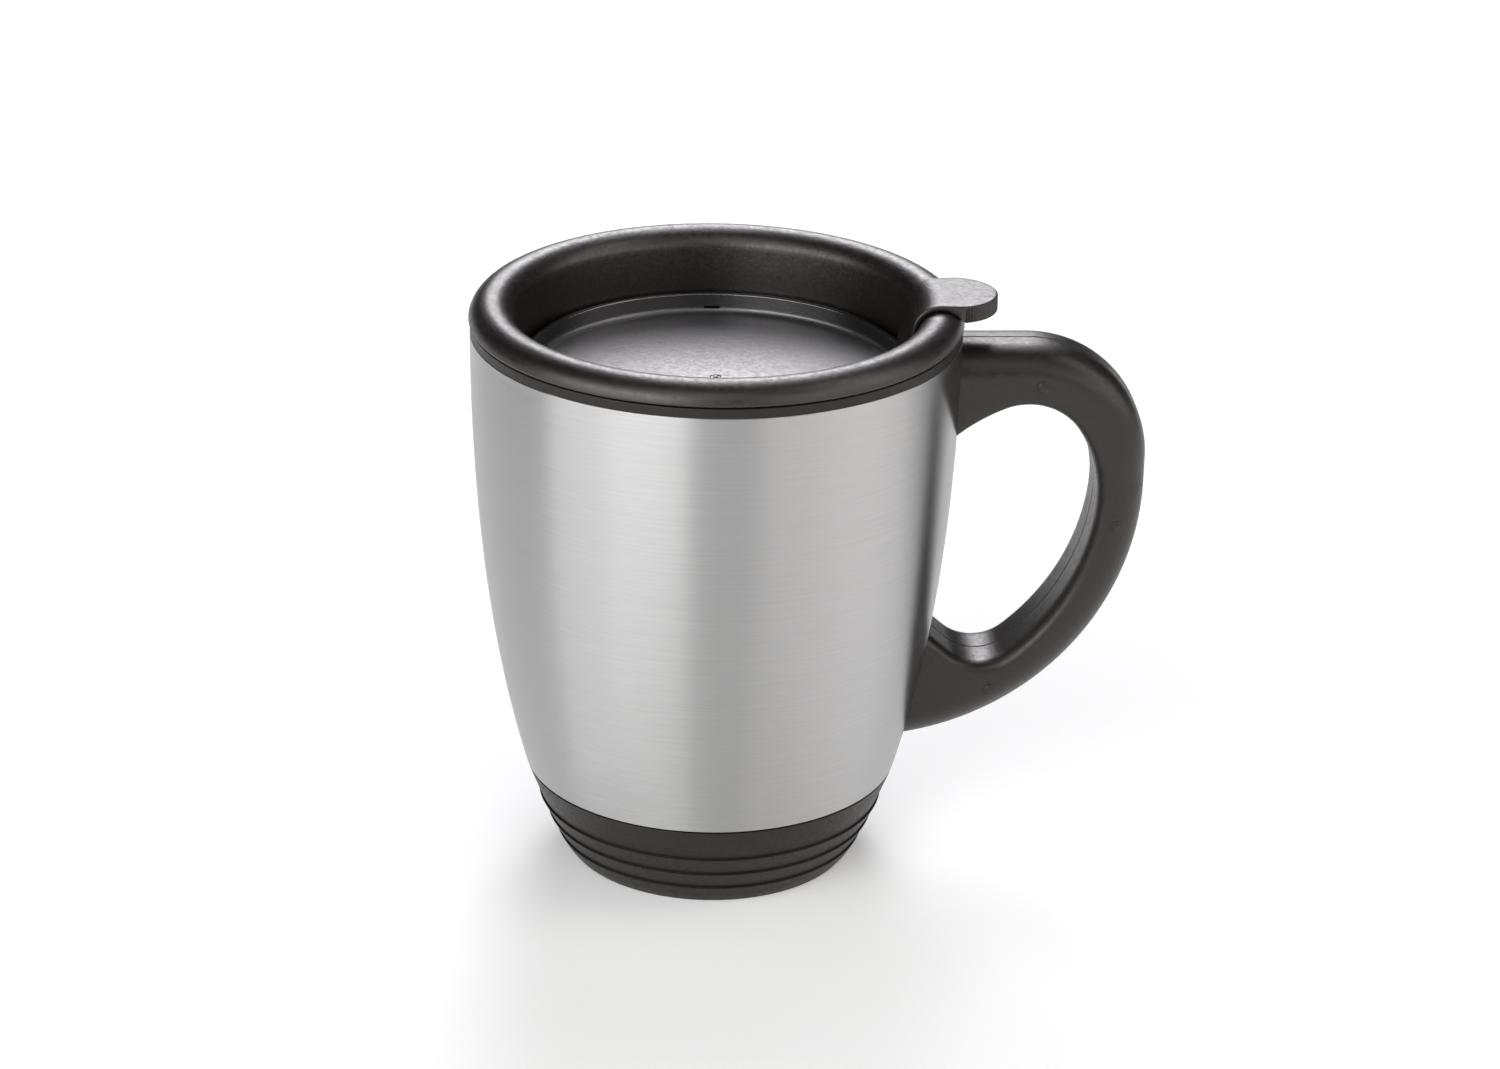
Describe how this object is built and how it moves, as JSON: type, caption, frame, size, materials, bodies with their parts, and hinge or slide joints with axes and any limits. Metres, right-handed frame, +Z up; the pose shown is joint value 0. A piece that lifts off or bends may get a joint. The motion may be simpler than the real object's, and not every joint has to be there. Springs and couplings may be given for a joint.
{
  "type": "insulated travel mug",
  "caption": "Squat double-walled travel mug with a brushed steel shell, ribbed black base, open loop handle and lift-off lid with a thumb-turned drinking dial.",
  "frame": {"origin": "on the mug's axis, in the plane the base stands on", "axes": "+Z up along the mug's axis, +X towards the handle"},
  "size_m": [0.1318, 0.0954, 0.117],
  "materials": {
    "brushed_shell": "fine brushing that runs round the mug",
    "black_plastic": "fine spark texture",
    "handle_plastic": "fine spark texture, satin",
    "lid_plastic": "satin, with a fine texture on the dish floor",
    "seal_rubber": "smooth translucent grey silicone",
    "pad_rubber": "matt",
    "screw_steel": "plain bright steel"
  },
  "bodies": {
    "mug": {"steel_shell": "brushed_shell", "inner_liner": "black_plastic", "liner_seal": "seal_rubber", "base_cap": "black_plastic", "base_seal": "seal_rubber", "foot_pad": "pad_rubber", "handle_front_half": "handle_plastic", "handle_back_half": "handle_plastic", "handle_pins": "handle_plastic", "handle_screws": "screw_steel", "handle_washers": "screw_steel"},
    "lid": {"lid_body": "lid_plastic", "lid_seal": "seal_rubber"},
    "dial": {"drink_dial": "lid_plastic", "dial_seal": "seal_rubber", "dial_washer": "screw_steel", "dial_screw": "screw_steel"}
  },
  "joints": [
    {"name": "lid_lift", "type": "slide", "parent": "mug", "child": "lid", "axis": [0, 0, 1], "range_m": [0, 0.06]},
    {"name": "dial_turn", "type": "hinge", "parent": "lid", "child": "dial", "pos_m": [0, 0, 0.098], "axis": [0, 0, 1], "range_deg": [0, 28]}
  ]
}
